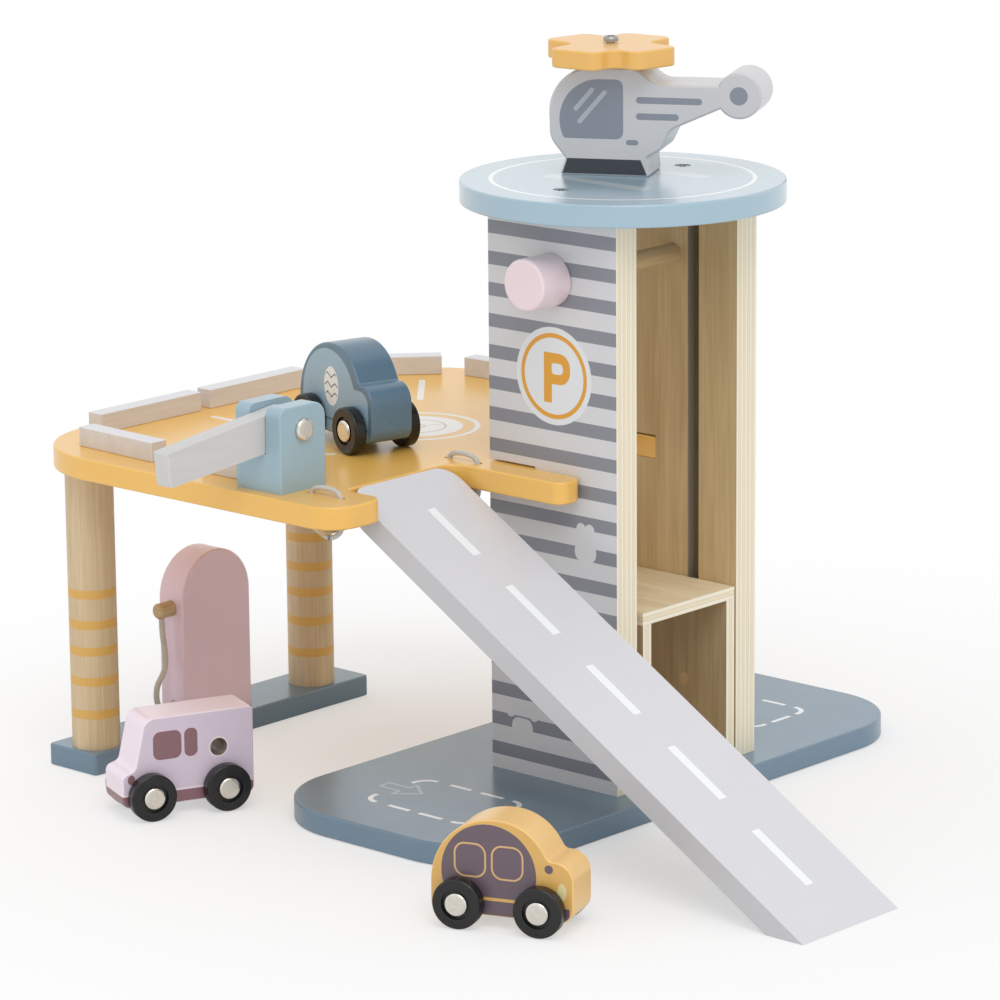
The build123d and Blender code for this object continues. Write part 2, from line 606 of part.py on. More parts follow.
def ramp():
    """Board from the notch down to the floor, with its ends cut plumb and level."""
    slope = ramp_slope()
    thick = BOARD / cos(slope)
    foot_back = BOARD / sin(slope)
    side = make_face(Polyline((RAMP_HINGE_Y, RAMP_HINGE_Z), (RAMP_HINGE_Y, RAMP_HINGE_Z - thick),
                              (RAMP_FOOT_Y + foot_back, 0.0), (RAMP_FOOT_Y, 0.0), close=True))
    place = Plane(origin=(RAMP_LEFT, 0, 0), x_dir=(0, 1, 0), z_dir=(1, 0, 0))
    plank = extrude(place * side, RAMP_RIGHT - RAMP_LEFT)
    corners = [edge for edge in plank.edges().filter_by(Axis.Z)]
    plank = fillet(corners, RAMP_TOP_CORNER)
    y, z = crossbar_axis()
    start, length = crossbar_start()
    return plank - bar_between((start, y, z), (1, 0, 0), CROSSBAR_DIAMETER + GLUE_GAP, length)


def ramp_crossbar():
    """Dowel under the ramp's top edge that the elastic loops hold up under the deck."""
    y, z = crossbar_axis()
    start, length = crossbar_start()
    dowel = bar_between((start, y, z), (1, 0, 0), CROSSBAR_DIAMETER, length)
    return chamfer(dowel.edges(), EASE)


def elastic_route(x):
    """One loop: up through the back hole, over the deck, down and under the crossbar."""
    back, front = elastic_holes(x)
    y, z = crossbar_axis()
    under = z - CROSSBAR_DIAMETER / 2 - ELASTIC_CLEAR - ELASTIC_DIAMETER / 2
    over = DECK_TOP + ELASTIC_RISE
    return [
        (x, y + 0.8, under - 0.4),
        (x, back[1] - 2.6, under + 1.6),
        (x, back[1], DECK_UNDER - 2.5),
        (x, back[1], DECK_TOP + 0.9),
        (x, back[1] - 4.5, over),
        (x, front[1] + 4.5, over + 0.1),
        (x, front[1], DECK_TOP + 0.9),
        (x, front[1], DECK_UNDER - 2.5),
        (x, front[1] + 1.6, under + 1.6),
        (x, y - 0.8, under),
    ]


# ---- winch and lift --------------------------------------------------------------------
def winch_rod():
    """Rod across the shaft, with a hole for the hoist cord."""
    start = -TOWER_X - RUN_GAP - KNOB_SOCKET
    rod = bar_between((start, 0, ROD_Z), (1, 0, 0), ROD_DIAMETER, TOWER_X - RUN_GAP - start)
    rod = chamfer(rod.edges(), EASE / 2)
    hole_x = (CABIN_LEFT + CABIN_RIGHT) / 2
    return rod - bar_between((hole_x, 0, ROD_Z - ROD_DIAMETER), UP, CORD_HOLE, 2 * ROD_DIAMETER)


def winch_knob():
    """Pink knob outside the striped wall, glued on the rod."""
    face = -TOWER_X - RUN_GAP
    knob = bar_between((face, 0, ROD_Z), (-1, 0, 0), KNOB_DIAMETER, KNOB_LENGTH)
    rim = [edge for edge in knob.edges() if edge.center().X < face - KNOB_LENGTH / 2]
    knob = fillet(rim, KNOB_EDGE)
    return knob - bar_between((face + 1, 0, ROD_Z), (-1, 0, 0), ROD_DIAMETER + 2 * GLUE_GAP,
                              KNOB_SOCKET + 1 + GLUE_GAP)


def winch_collar():
    """Stop ring glued on the rod just inside the striped wall."""
    ring = bar_between((-SHAFT_X + RUN_GAP, 0, ROD_Z), (1, 0, 0), COLLAR_DIAMETER, COLLAR_LENGTH)
    ring = chamfer(ring.edges(), EASE)
    return ring - bar_between((-SHAFT_X, 0, ROD_Z), (1, 0, 0), ROD_DIAMETER + 2 * GLUE_GAP, COLLAR_LENGTH + 2)


CABIN_FOOT = BASE_TOP
CABIN_ROOF = CABIN_FOOT + CABIN_HEIGHT
CABIN_SPAN_Y = (-CABIN_DEPTH / 2, CABIN_DEPTH / 2)


def lift_roof():
    """Panel on top of the cabin's sides, with the cord's hole."""
    panel = span((CABIN_LEFT, CABIN_RIGHT), CABIN_SPAN_Y, (CABIN_ROOF - CABIN_PLY, CABIN_ROOF))
    hole_x = (CABIN_LEFT + CABIN_RIGHT) / 2
    return panel - bar_between((hole_x, 0, CABIN_ROOF - CABIN_PLY - 1), UP, CORD_HOLE, CABIN_PLY + 2)


def lift_floor():
    """Panel that the cars stand on."""
    return span((CABIN_LEFT, CABIN_RIGHT), CABIN_SPAN_Y, (CABIN_FOOT, CABIN_FOOT + CABIN_PLY))


def lift_side(side):
    """Upright panel between the floor and the roof."""
    x = (CABIN_LEFT, CABIN_LEFT + CABIN_PLY) if side < 0 else (CABIN_RIGHT - CABIN_PLY, CABIN_RIGHT)
    panel = span(x, CABIN_SPAN_Y, (CABIN_FOOT + CABIN_PLY, CABIN_ROOF - CABIN_PLY))
    if side > 0:
        panel -= guide_pin_shape(2 * GLUE_GAP)
    return panel


def guide_pin_shape(gap):
    """The pin that follows the guide slot, or its hole."""
    start = (CABIN_RIGHT - CABIN_PLY, GUIDE_SLOT_Y, CABIN_FOOT + GUIDE_PIN_HEIGHT)
    return bar_between(start, (1, 0, 0), GUIDE_PIN_DIAMETER + gap, CABIN_PLY + CABIN_CLEAR_RIGHT + GUIDE_PIN_REACH)


# ---- helicopter ------------------------------------------------------------------------
def helicopter_plane(y):
    """Sketch plane along the helicopter: u towards its tail, v up."""
    turn = radians(HELI_TAIL_ANGLE)
    along_tail = (cos(turn), sin(turn), 0)
    normal = Vector(*along_tail).cross(Vector(0, 0, 1))
    origin = Vector(0, 0, HELIPAD_TOP) + normal * (HELI_ASIDE + y)
    return Plane(origin=origin, x_dir=along_tail, z_dir=normal)


def helicopter_body():
    """Thick slab with a round hull, a tail boom, a tail disc and a skid foot."""
    top = HELI_HEIGHT
    hull = make_face(FilletPolyline(
        (-25.7, 0.0), (10.2, 0.0), (9.4, 7.8), (15.2, 11.0), (19.0, 19.0), (40.0, 28.3), (40.0, 36.8),
        (13.0, 36.7), (5.0, top), (-HELI_NOSE, top), (-HELI_NOSE + 0.7, 14.5), (-23.4, 6.6),
        radius=[1.0, 1.0, 1.5, 3.0, 6.0, 0.0, 0.0, 7.0, 8.0, 18.0, 9.0, 1.0], close=True))
    hull += Pos(HELI_TAIL_REACH, HELI_TAIL_HEIGHT) * Circle(HELI_TAIL_RADIUS)
    slab = extrude(helicopter_plane(-HELI_THICKNESS / 2) * hull, HELI_THICKNESS)
    slab = chamfer(slab.edges().filter_by(lambda edge: on_slab_face(edge)), EASE)
    return slab - bar_between(rotor_point(HELIPAD_TOP + HELI_HEIGHT), (0, 0, -1),
                              ROTOR_SCREW_SHANK + 2 * SCREW_SEAT, rotor_screw_depth() + SCREW_SEAT)


def on_slab_face(edge):
    """Whether an edge lies in one of the helicopter's two flat faces."""
    plane = helicopter_plane(0.0)
    offset = abs((edge.center() - plane.origin).dot(plane.z_dir))
    return abs(offset - HELI_THICKNESS / 2) < 1e-3


def rotor_point(z):
    """The rotor's axis at a height."""
    point = helicopter_plane(0.0).origin + helicopter_plane(0.0).x_dir * ROTOR_BACK
    return (point.X, point.Y, z)


def rotor_screw_depth():
    """How far the rotor's screw runs into the body."""
    return ROTOR_SCREW_LENGTH - ROTOR_THICKNESS - 2 * ROTOR_CLEAR


ROTOR_Z = HELIPAD_TOP + HELI_HEIGHT + ROTOR_CLEAR


def rotor():
    """Four blunt blades, sawn from one board."""
    cross = Rectangle(ROTOR_SPAN, ROTOR_BLADE) + Rot(0, 0, ROTOR_CROSSING) * Rectangle(ROTOR_SPAN, ROTOR_BLADE)
    cross = fillet(cross.vertices(), ROTOR_BLADE / 5)
    blades = ease_rims(extrude(cross, ROTOR_THICKNESS), 0.0, ROTOR_THICKNESS)
    blades -= Cylinder(ROTOR_SCREW_SHANK / 2 + BORE_GAP, 3 * ROTOR_THICKNESS)
    return Pos(*rotor_point(ROTOR_Z)) * Rot(0, 0, ROTOR_TURN) * blades


def rotor_screw():
    """Round-headed screw that the rotor turns on."""
    head_z = ROTOR_Z + ROTOR_THICKNESS + ROTOR_CLEAR
    head = bar_between(rotor_point(head_z), UP, ROTOR_SCREW_HEAD, ROTOR_SCREW_HEIGHT)
    rim = [edge for edge in head.edges() if edge.center().Z > head_z + ROTOR_SCREW_HEIGHT / 2]
    head = fillet(rim, ROTOR_SCREW_HEIGHT * 0.6)
    top = rotor_point(head_z + ROTOR_SCREW_HEIGHT)
    head -= Pos(*top) * Box(SCREW_CROSS, SCREW_CROSS_WIDTH, SCREW_CROSS_DEPTH)
    head -= Pos(*top) * Box(SCREW_CROSS_WIDTH, SCREW_CROSS, SCREW_CROSS_DEPTH)
    return head + bar_between(rotor_point(head_z), (0, 0, -1), ROTOR_SCREW_SHANK, ROTOR_SCREW_LENGTH)


# ---- cars ------------------------------------------------------------------------------
def beetle_outline():
    """Side view of the round cars, nose towards +u."""
    low = CAR_CLEARANCE
    top = BEETLE_HEIGHT
    corners = [(-BEETLE_REACH, low), (BEETLE_REACH, low), (BEETLE_REACH, BEETLE_BONNET),
               (BEETLE_SCREEN_U, BEETLE_SCREEN_HEIGHT), (BEETLE_ROOF_U, top), (-BEETLE_REACH, top)]
    radii = [BEETLE_SILL_RADIUS, BEETLE_CHIN_RADIUS, BEETLE_NOSE_RADIUS, BEETLE_SCREEN_RADIUS,
             BEETLE_ROOF_RADIUS, BEETLE_TAIL_RADIUS]
    return FilletPolyline(*corners, radius=radii, close=True)


def van_outline():
    """Side view of the van, windscreen towards +u."""
    low = CAR_CLEARANCE
    top = VAN_HEIGHT
    corners = [(-VAN_TAIL, low), (VAN_NOSE, low), (VAN_NOSE, VAN_BONNET),
               (VAN_SCREEN_U, VAN_SCREEN_HEIGHT), (VAN_ROOF_U, top), (-VAN_TAIL, top)]
    radii = [VAN_SILL_RADIUS, VAN_CHIN_RADIUS, VAN_BONNET_RADIUS, VAN_BONNET_RADIUS,
             VAN_ROOF_RADIUS, VAN_TAIL_RADIUS]
    return FilletPolyline(*corners, radius=radii, close=True)


def car_body(outline):
    """Slab of the side view, bored for two axles."""
    place = Plane(origin=(0, CAR_THICKNESS / 2, 0), x_dir=(1, 0, 0), z_dir=(0, -1, 0))
    slab = extrude(place * make_face(outline), CAR_THICKNESS)
    rims = [edge for edge in slab.edges() if abs(abs(edge.center().Y) - CAR_THICKNESS / 2) < 1e-3]
    slab = fillet(rims, EASE)
    for u in (-WHEELBASE / 2, WHEELBASE / 2):
        slab -= bar_between((u, -CAR_THICKNESS, WHEEL_DIAMETER / 2), (0, 1, 0), AXLE_DIAMETER + 2 * BORE_GAP,
                            2 * CAR_THICKNESS)
    return slab


def axle(u):
    """Axle with a domed cap at each end."""
    half = CAR_THICKNESS / 2 + WHEEL_OFF + WHEEL_WIDTH - WHEEL_DISH_DEPTH
    pin = bar_between((u, -half, WHEEL_DIAMETER / 2), (0, 1, 0), AXLE_DIAMETER, 2 * half)
    for side in (-1, 1):
        face = (u, side * half, WHEEL_DIAMETER / 2)
        cap = bar_between(face, (0, side, 0), CAP_DIAMETER, CAP_HEIGHT)
        rim = [edge for edge in cap.edges() if abs(edge.center().Y) > half + CAP_HEIGHT / 2]
        pin += fillet(rim, CAP_HEIGHT * 0.6)
    return pin


def wheel_pair(u):
    """Two dished wheels glued on an axle, kept as separate solids."""
    wheels = []
    for side in (-1, 1):
        inner = (u, side * (CAR_THICKNESS / 2 + WHEEL_OFF), WHEEL_DIAMETER / 2)
        disc = bar_between(inner, (0, side, 0), WHEEL_DIAMETER, WHEEL_WIDTH)
        disc = fillet(disc.edges(), EASE)
        outer = (u, side * (CAR_THICKNESS / 2 + WHEEL_OFF + WHEEL_WIDTH), WHEEL_DIAMETER / 2)
        disc -= bar_between(outer, (0, -side, 0), WHEEL_DISH, WHEEL_DISH_DEPTH)
        wheels.append(disc - bar_between(inner, (0, side, 0), AXLE_DIAMETER + 2 * SCREW_SEAT, WHEEL_WIDTH))
    return wheels


def car(name, outline, place, heading, ground, hole=None):
    """All the pieces of one car where it stands."""
    spot = Pos(place[0], place[1], ground) * Rot(0, 0, heading)
    body = car_body(outline)
    if hole:
        body -= bar_between((hole[0], -CAR_THICKNESS, hole[1]), (0, 1, 0), VAN_HOLE, 2 * CAR_THICKNESS)
    front = WHEELBASE / 2
    pieces = {name + "_body": spot * body}
    for end, u in (("front", front), ("rear", -front)):
        pieces[name + "_" + end + "_axle"] = spot * axle(u)
        pieces[name + "_" + end + "_wheels"] = Compound(children=[spot * wheel for wheel in wheel_pair(u)])
    return pieces


# ---- the whole set ---------------------------------------------------------------------
def all_pieces():
    pieces = {
        "base_board": base_board(),
        "base_screws": screw_set(BASE_SCREWS, UP),
        "tower_wall_striped": tower_wall_striped(),
        "tower_wall_slotted": tower_wall_slotted(),
        "helipad": helipad(),
        "helipad_screws": screw_set(HELIPAD_SCREWS, (0, 0, -1)),
        "deck": deck(),
        "foot_bar": foot_bar(),
        "foot_screws": screw_set(FOOT_SCREWS, UP),
        "post_left": post(POST_LEFT_X),
        "post_right": post(POST_RIGHT_X),
        "pump_body": pump_body(),
        "pump_nozzle": pump_nozzle(),
        "pump_hose": tube(hose_route(), HOSE_DIAMETER),
        "barrier_block": barrier_block(),
        "barrier_block_screws": screw_set(BLOCK_SCREWS, UP),
        "barrier_boom": barrier_boom(),
        "barrier_bolt": barrier_bolt(),
        "ramp": ramp(),
        "ramp_crossbar": ramp_crossbar(),
        "elastic_left": tube(elastic_route(ELASTIC_LEFT_X), ELASTIC_DIAMETER),
        "elastic_right": tube(elastic_route(ELASTIC_RIGHT_X), ELASTIC_DIAMETER),
        "winch_rod": winch_rod(),
        "winch_knob": winch_knob(),
        "winch_collar": winch_collar(),
        "lift_roof": lift_roof(),
        "lift_floor": lift_floor(),
        "lift_side_left": lift_side(-1),
        "lift_side_right": lift_side(1),
        "lift_guide_pin": guide_pin_shape(0.0),
        "helicopter_body": helicopter_body(),
        "rotor": rotor(),
        "rotor_screw": rotor_screw(),
    }
    for number, (middle, heading, length) in enumerate(rail_places(), 1):
        pieces["deck_rail_" + str(number)] = rail(middle, heading, length)
    van_hole = (VAN_HOLE_BACK, VAN_HOLE_HEIGHT)
    deck_ground = DECK_TOP + CAR_REST_GAP
    pieces.update(car("yellow_car", beetle_outline(), YELLOW_CAR_PLACE, YELLOW_CAR_HEADING, 0.0))
    pieces.update(car("pink_van", van_outline(), PINK_VAN_PLACE, PINK_VAN_HEADING, 0.0, van_hole))
    pieces.update(car("blue_car", beetle_outline(), BLUE_CAR_PLACE, BLUE_CAR_HEADING, deck_ground))
    return pieces


os.makedirs("parts", exist_ok=True)
for node, shape in all_pieces().items():
    export_step(shape, "parts/" + node + ".step")
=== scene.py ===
import math

import bpy
from mathutils import Matrix, Vector


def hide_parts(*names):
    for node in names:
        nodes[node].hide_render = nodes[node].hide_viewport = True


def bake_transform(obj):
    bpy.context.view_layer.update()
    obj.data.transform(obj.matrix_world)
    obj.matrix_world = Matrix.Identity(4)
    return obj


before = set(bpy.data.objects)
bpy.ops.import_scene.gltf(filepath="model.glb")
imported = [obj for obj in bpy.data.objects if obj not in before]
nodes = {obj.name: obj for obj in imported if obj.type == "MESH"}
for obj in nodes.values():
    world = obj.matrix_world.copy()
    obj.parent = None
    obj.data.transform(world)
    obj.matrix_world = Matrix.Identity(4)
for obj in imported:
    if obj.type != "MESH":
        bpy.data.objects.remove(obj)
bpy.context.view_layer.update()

# ---- Camera ----------------------------------------------------------------------------
# The set is photographed from its front left corner with a long lens that looks down on it
# by about 13 degrees. The line of sight and the slight roll follow the photograph.
CAMERA_PLACE = (-1.4115, -1.2126, 0.5604)
CAMERA_AZIMUTH = math.radians(-47.821)
CAMERA_HEIGHT_ANGLE = math.radians(13.424)
CAMERA_ROLL = math.radians(-0.489)
FOCAL_PIXELS = 4804.8
PICTURE_PIXELS = 1000          # width and height of the photograph
SENSOR_WIDTH = 36.0            # millimetres

backwards = Vector((
    math.sin(CAMERA_AZIMUTH) * math.cos(CAMERA_HEIGHT_ANGLE),
    -math.cos(CAMERA_AZIMUTH) * math.cos(CAMERA_HEIGHT_ANGLE),
    math.sin(CAMERA_HEIGHT_ANGLE),
))
level = Vector((math.cos(CAMERA_AZIMUTH), math.sin(CAMERA_AZIMUTH), 0.0))
upright = backwards.cross(level)
sideways = level * math.cos(CAMERA_ROLL) + upright * math.sin(CAMERA_ROLL)
upwards = upright * math.cos(CAMERA_ROLL) - level * math.sin(CAMERA_ROLL)
bpy.ops.object.camera_add()
camera = bpy.context.object
camera.name = "camera"
camera.data.sensor_width = SENSOR_WIDTH
camera.data.lens = SENSOR_WIDTH * FOCAL_PIXELS / PICTURE_PIXELS
camera.data.clip_start = 0.05
camera.data.clip_end = 50.0
turned = Matrix((sideways, upwards, backwards)).transposed().to_4x4()
camera.matrix_world = Matrix.Translation(CAMERA_PLACE) @ turned
bpy.context.scene.camera = camera


# ---- Fuel hose -------------------------------------------------------------------------
# A short round cotton cord, knotted into a hole under the nozzle at one end and into the
# pump's side at the other. It hangs in a small curl beside the pump. Braided, undyed.
class Paint:
    """A value, a colour or a direction of a finish, kept as the output of a shader node."""

    tree = None

    def __init__(self, socket):
        self.socket = socket

    @classmethod
    def node(cls, kind, settings=None, inputs=None, output=0):
        """Adds a node to the finish that is being mixed. Its settings go in first."""
        made = cls.tree.nodes.new(kind)
        for name, value in (settings or {}).items():
            setattr(made, name, value)
        for name, value in (inputs or {}).items():
            if isinstance(value, cls):
                cls.tree.links.new(value.socket, made.inputs[name])
            else:
                made.inputs[name].default_value = value
        return cls(made.outputs[output])

    @classmethod
    def maths(cls, operation, *values):
        return cls.node("ShaderNodeMath", {"operation": operation}, dict(enumerate(values)))

    def __add__(self, other):
        return Paint.maths("ADD", self, other)

    __radd__ = __add__

    def __sub__(self, other):
        return Paint.maths("SUBTRACT", self, other)

    def __rsub__(self, other):
        return Paint.maths("SUBTRACT", other, self)

    def __mul__(self, other):
        return Paint.maths("MULTIPLY", self, other)

    __rmul__ = __mul__

    def __truediv__(self, other):
        return Paint.maths("DIVIDE", self, other)

    def __mod__(self, other):
        return Paint.maths("FLOORED_MODULO", self, other)

    def __pow__(self, other):
        return Paint.maths("POWER", self, other)

    def __lt__(self, other):
        return Paint.maths("LESS_THAN", self, other)

    def __gt__(self, other):
        return Paint.maths("GREATER_THAN", self, other)

    def __abs__(self):
        return Paint.maths("ABSOLUTE", self)

    def over(self, least):
        return Paint.maths("MAXIMUM", self, least)

    def under(self, most):
        return Paint.maths("MINIMUM", self, most)


def tint(code, brightness=1.0):
    """A paint maker's colour code as the amounts of red, green and blue light."""
    parts = [int(code[i:i + 2], 16) / 255 for i in (1, 3, 5)]
    light = [part / 12.92 if part < 0.04045 else ((part + 0.055) / 1.055) ** 2.4 for part in parts]
    return (*[min(1.0, part * brightness) for part in light], 1.0)


def mixed(share, first, second):
    """Goes from the first colour to the second as the share goes from 0 to 1."""
    return Paint.node("ShaderNodeMix", {"data_type": "RGBA"}, {0: share, 6: first, 7: second}, 2)


def three_ways(vector):
    """The three parts of a direction or place."""
    split = Paint.node("ShaderNodeSeparateXYZ", inputs={0: vector}).socket.node
    return [Paint(output) for output in split.outputs]


def new_finish(name):
    finish = bpy.data.materials.new(name)
    finish.use_nodes = True
    Paint.tree = finish.node_tree
    return finish


def lay_on(finish, colour, rough, height=None, relief=0.0, **plain):
    """Puts colour, roughness and relief in metres on a finish; the rest are plain numbers."""
    shader = finish.node_tree.nodes["Principled BSDF"]
    wanted = {"Base Color": colour, "Roughness": rough}
    if height is not None:
        wanted["Normal"] = Paint.node("ShaderNodeBump", inputs={"Distance": relief, "Height": height})
    for name, value in wanted.items():
        if isinstance(value, Paint):
            finish.node_tree.links.new(value.socket, shader.inputs[name])
        else:
            shader.inputs[name].default_value = value
    for name, value in plain.items():
        shader.inputs[name.replace("_", " ").title()].default_value = value
    return finish


def braid(name, code, length, thickness, strand=0.0011):
    """Braided cord: two sets of strands that cross at 45 degrees round the cord."""
    finish = new_finish(name)
    along, around, _ = three_ways(Paint.node("ShaderNodeTexCoord", output="UV"))
    turns = around * round(math.pi * thickness / strand)
    rows = along * (length / strand)
    left = abs((rows + turns) % 1.0 - 0.5)
    right = abs((rows - turns) % 1.0 - 0.5)
    strands = left.over(right) * 2.0
    # The valleys between the strands are painted darker than the strands' crowns: painted shade in the
    # braid's creases.
    colour = mixed(strands, tint(code, 1.04), tint(code, 0.72))
    return lay_on(finish, colour, 0.85, 1.0 - strands, 0.0003, sheen_weight=0.25)


def soft_line(name, points, thickness, finish):
    """A round cord on a smooth line that is drawn by points in millimetres, and the line it follows."""
    curve = bpy.data.curves.new(name, "CURVE")
    curve.dimensions = "3D"
    line = curve.splines.new("NURBS")
    line.points.add(len(points) - 1)
    for spot, place in zip(line.points, points):
        spot.co = (place[0] / 1000, place[1] / 1000, place[2] / 1000, 1.0)
    line.order_u = 3
    line.use_endpoint_u = True
    line.resolution_u = 12
    drawn = bpy.data.objects.new(name, curve)
    bpy.context.collection.objects.link(drawn)
    bare = bpy.data.meshes.new_from_object(drawn)
    followed = [tuple(corner.co) for corner in bare.vertices]
    curve.bevel_depth = thickness / 2
    curve.bevel_resolution = 5
    curve.use_fill_caps = True
    curve.materials.append(finish)
    bpy.ops.object.select_all(action="DESELECT")
    drawn.select_set(True)
    bpy.context.view_layer.objects.active = drawn
    bpy.ops.object.convert(target="MESH")
    cord = bpy.context.object
    bpy.ops.object.shade_smooth()
    return cord, followed


HOSE_THICKNESS = 0.0025
HOSE_LENGTH = 0.0512
HOSE_POINTS = [
    (-85.9, 177.3, 56.25), (-85.9, 177.3, 48.45), (-84.7, 176.9, 39.85), (-85.3, 176.5, 31.85),
    (-89.9, 176.7, 27.0), (-90.5, 177.0, 21.4), (-88.7, 177.3, 16.6), (-85.4, 177.4, 15.4),
    (-81.9, 177.3, 17.0), (-78.5, 177.3, 17.0),
]
hose, hose_line = soft_line("fuel_hose", HOSE_POINTS, HOSE_THICKNESS,
                            braid("undyed cotton braid", "#efe8dc", HOSE_LENGTH, HOSE_THICKNESS))
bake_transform(hose)
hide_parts("pump_hose")


# ---- Elastic loops ---------------------------------------------------------------------
# Two loops of white round elastic hold the ramp's crossbar up under the deck. Each comes
# up through one hole, lies over the deck and goes down through the next one.
ELASTIC_THICKNESS = 0.0020
ELASTIC_LENGTH = 0.0590
BAR_AXIS_Y, ELASTIC_LOW, ELASTIC_HIGH = 38.2, 118.7, 137.8
elastic_braid = braid("white elastic braid", "#f6f4f0", ELASTIC_LENGTH, ELASTIC_THICKNESS, 0.0009)
for side, across in (("left", -128.0), ("right", -50.0)):
    loop, _ = soft_line("elastic_loop_" + side, [
        (across, BAR_AXIS_Y + 0.8, ELASTIC_LOW - 0.4), (across, 46.0, ELASTIC_LOW + 1.6),
        (across, 48.6, 123.5), (across, 48.6, 135.9), (across, 44.1, ELASTIC_HIGH),
        (across, 36.6, ELASTIC_HIGH + 0.1), (across, 32.1, 135.9), (across, 32.1, 123.5),
        (across, 33.7, ELASTIC_LOW + 1.6), (across, BAR_AXIS_Y - 0.8, ELASTIC_LOW),
    ], ELASTIC_THICKNESS, elastic_braid)
    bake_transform(loop)
    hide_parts("elastic_" + side)

# ---- Base board and foot bar -----------------------------------------------------------
# Rounded board under the tower and the bar under the posts: birch ply, sprayed slate
# blue. Two parking bays with an arrow are screen printed on the base in white.
MM = 1000.0


def on_piece():
    """Where a point lies on the whole set, in millimetres."""
    here = Paint.node("ShaderNodeTexCoord", output="Object")
    return three_ways(Paint.node("ShaderNodeVectorMath", {"operation": "SCALE"}, {0: here, "Scale": MM}))


def facing():
    """The way that the surface faces."""
    return three_ways(Paint.node("ShaderNodeTexCoord", output="Normal"))


def clouds(size, drawn_out=(1.0, 1.0, 1.0), detail=3.0):
    """Cloudy spots from 0 to 1, about size millimetres across and drawn out along an axis."""
    here = Paint.node("ShaderNodeTexCoord", output="Object")
    scale = tuple(MM / size / factor for factor in drawn_out)
    placed = Paint.node("ShaderNodeMapping", inputs={"Vector": here, "Scale": scale})
    return Paint.node("ShaderNodeTexNoise", inputs={"Vector": placed, "Scale": 1.0, "Detail": detail})


def sprayed(code, change=0.045):
    """Satin paint with the faint unevenness of a spray gun."""
    return mixed(clouds(30.0), tint(code, 1 - change), tint(code, 1 + change))


def paint_skin(finish, colour, rough=0.40, grain=(1.0, 1.0, 1.0), coat=0.35):
    """Finishes sprayed paint: a fine orange peel over the faint grain of the wood below."""
    peel = clouds(0.9, detail=2.0)
    fibres = clouds(0.7, grain, 2.0)
    shine = clouds(12.0) * 0.10 + (rough - 0.12)
    return lay_on(finish, colour, shine, peel * 0.45 + fibres * 0.55, 0.00006,
                  coat_weight=coat, coat_roughness=0.2)


def dress(finish, *names):
    """Puts a finish on pieces of the set."""
    for name in names:
        for slot in nodes[name].material_slots:
            slot.material = finish


def length_of(u, v):
    return (u * u + v * v) ** 0.5


def from_box(u, v, width, height, corner):
    """Distance outside a rounded rectangle round (0, 0)."""
    over_u = (abs(u) - (width / 2 - corner)).over(0.0)
    over_v = (abs(v) - (height / 2 - corner)).over(0.0)
    return length_of(over_u, over_v) - corner


def from_line(u, v, start, end):
    """Distance from a straight stroke between two points."""
    run_u, run_v = end[0] - start[0], end[1] - start[1]
    part = ((u - start[0]) * run_u + (v - start[1]) * run_v) * (1 / (run_u ** 2 + run_v ** 2))
    part = part.over(0.0).under(1.0)
    return length_of(u - start[0] - part * run_u, v - start[1] - part * run_v)


def between(value, low, high):
    return (value > low) * (value < high)


def one_of(first, *others):
    """Where at least one of the marks is."""
    for other in others:
        first = first.over(other)
    return first


SLATE = "#6d8699"
PRINT_WHITE = "#eef1f4"
BAY_MIDDLE_LEFT, BAY_MIDDLE_RIGHT, BAY_MIDDLE_Y = -90.9, 85.2, 14.5
BAY_WIDTH, BAY_LENGTH, BAY_CORNER, BAY_LINE = 35.6, 53.8, 6.5, 2.1
slate_printed = new_finish("slate paint with parking bays")
x, y, z = on_piece()
_, _, up = facing()
u = x - ((x > 0.0) * (BAY_MIDDLE_RIGHT - BAY_MIDDLE_LEFT) + BAY_MIDDLE_LEFT)
v = y - BAY_MIDDLE_Y
rim = abs(from_box(u, v, BAY_WIDTH, BAY_LENGTH, BAY_CORNER)) < BAY_LINE / 2
long_dashes = one_of(v > 20.2, between(v, 2.2, 13.3), between(v, -14.9, -2.9), v < -19.9)
dashes = one_of((abs(u) > 10.0) * long_dashes, (abs(u) < 5.8) * (v < 0.0))
a = abs(u - 1.7)
arrow = from_line(a, v, (2.8, 23.5), (2.8, 34.0))
arrow = arrow.under(from_line(a, v, (0.0, 34.0), (2.8, 34.0)))
arrow = arrow.under(from_line(a, v, (2.8, 23.3), (7.2, 23.1)))
arrow = arrow.under(from_line(a, v, (7.2, 23.1), (0.0, 13.9)))
colour = mixed((arrow < 0.65) * (up > 0.7) * 0.30, sprayed(SLATE), tint(PRINT_WHITE))
colour = mixed(rim * dashes * (up > 0.7), colour, tint(PRINT_WHITE))
dress(paint_skin(slate_printed, colour, 0.38, (14.0, 1.0, 1.0)), "base_board")
dress(paint_skin(new_finish("slate paint"), sprayed(SLATE), 0.38, (14.0, 1.0, 1.0)), "foot_bar")

# ---- Tower walls -----------------------------------------------------------------------
# Two upright panels of 12 mm birch ply. Their outer faces are printed with grey stripes,
# paw tracks and a round parking sign; the inner faces and the edges are left bare.
BIRCH_FACE, BIRCH_FACE_DARK = "#e6d2a9", "#c9af82"
BIRCH_EDGE, BIRCH_EDGE_DARK, GLUE_LINE = "#f6efdd", "#eaddbe", "#b9a27a"
STRIPE_LIGHT, STRIPE_DARK, SIGN_ORANGE = "#dadadd", "#8b8e97", "#e3a43e"
STRIPE_PITCH, STRIPE_HEIGHT, STRIPE_START = 12.44, 5.4, 14.7
WALL_OUTSIDE, WALL_THICK = 42.5, 12.0
SIGN_Y, SIGN_Z, SIGN_RADIUS = -1.0, 173.4, 19.4
SIGN_RING = (15.2, 17.0)
TRACKS = ((-16.9, 108.0), (16.8, 30.5))
TOES, TOE_RADIUS = ((-6.2, 3.4), (-2.2, 6.4), (2.2, 6.4), (6.2, 3.4)), 2.4
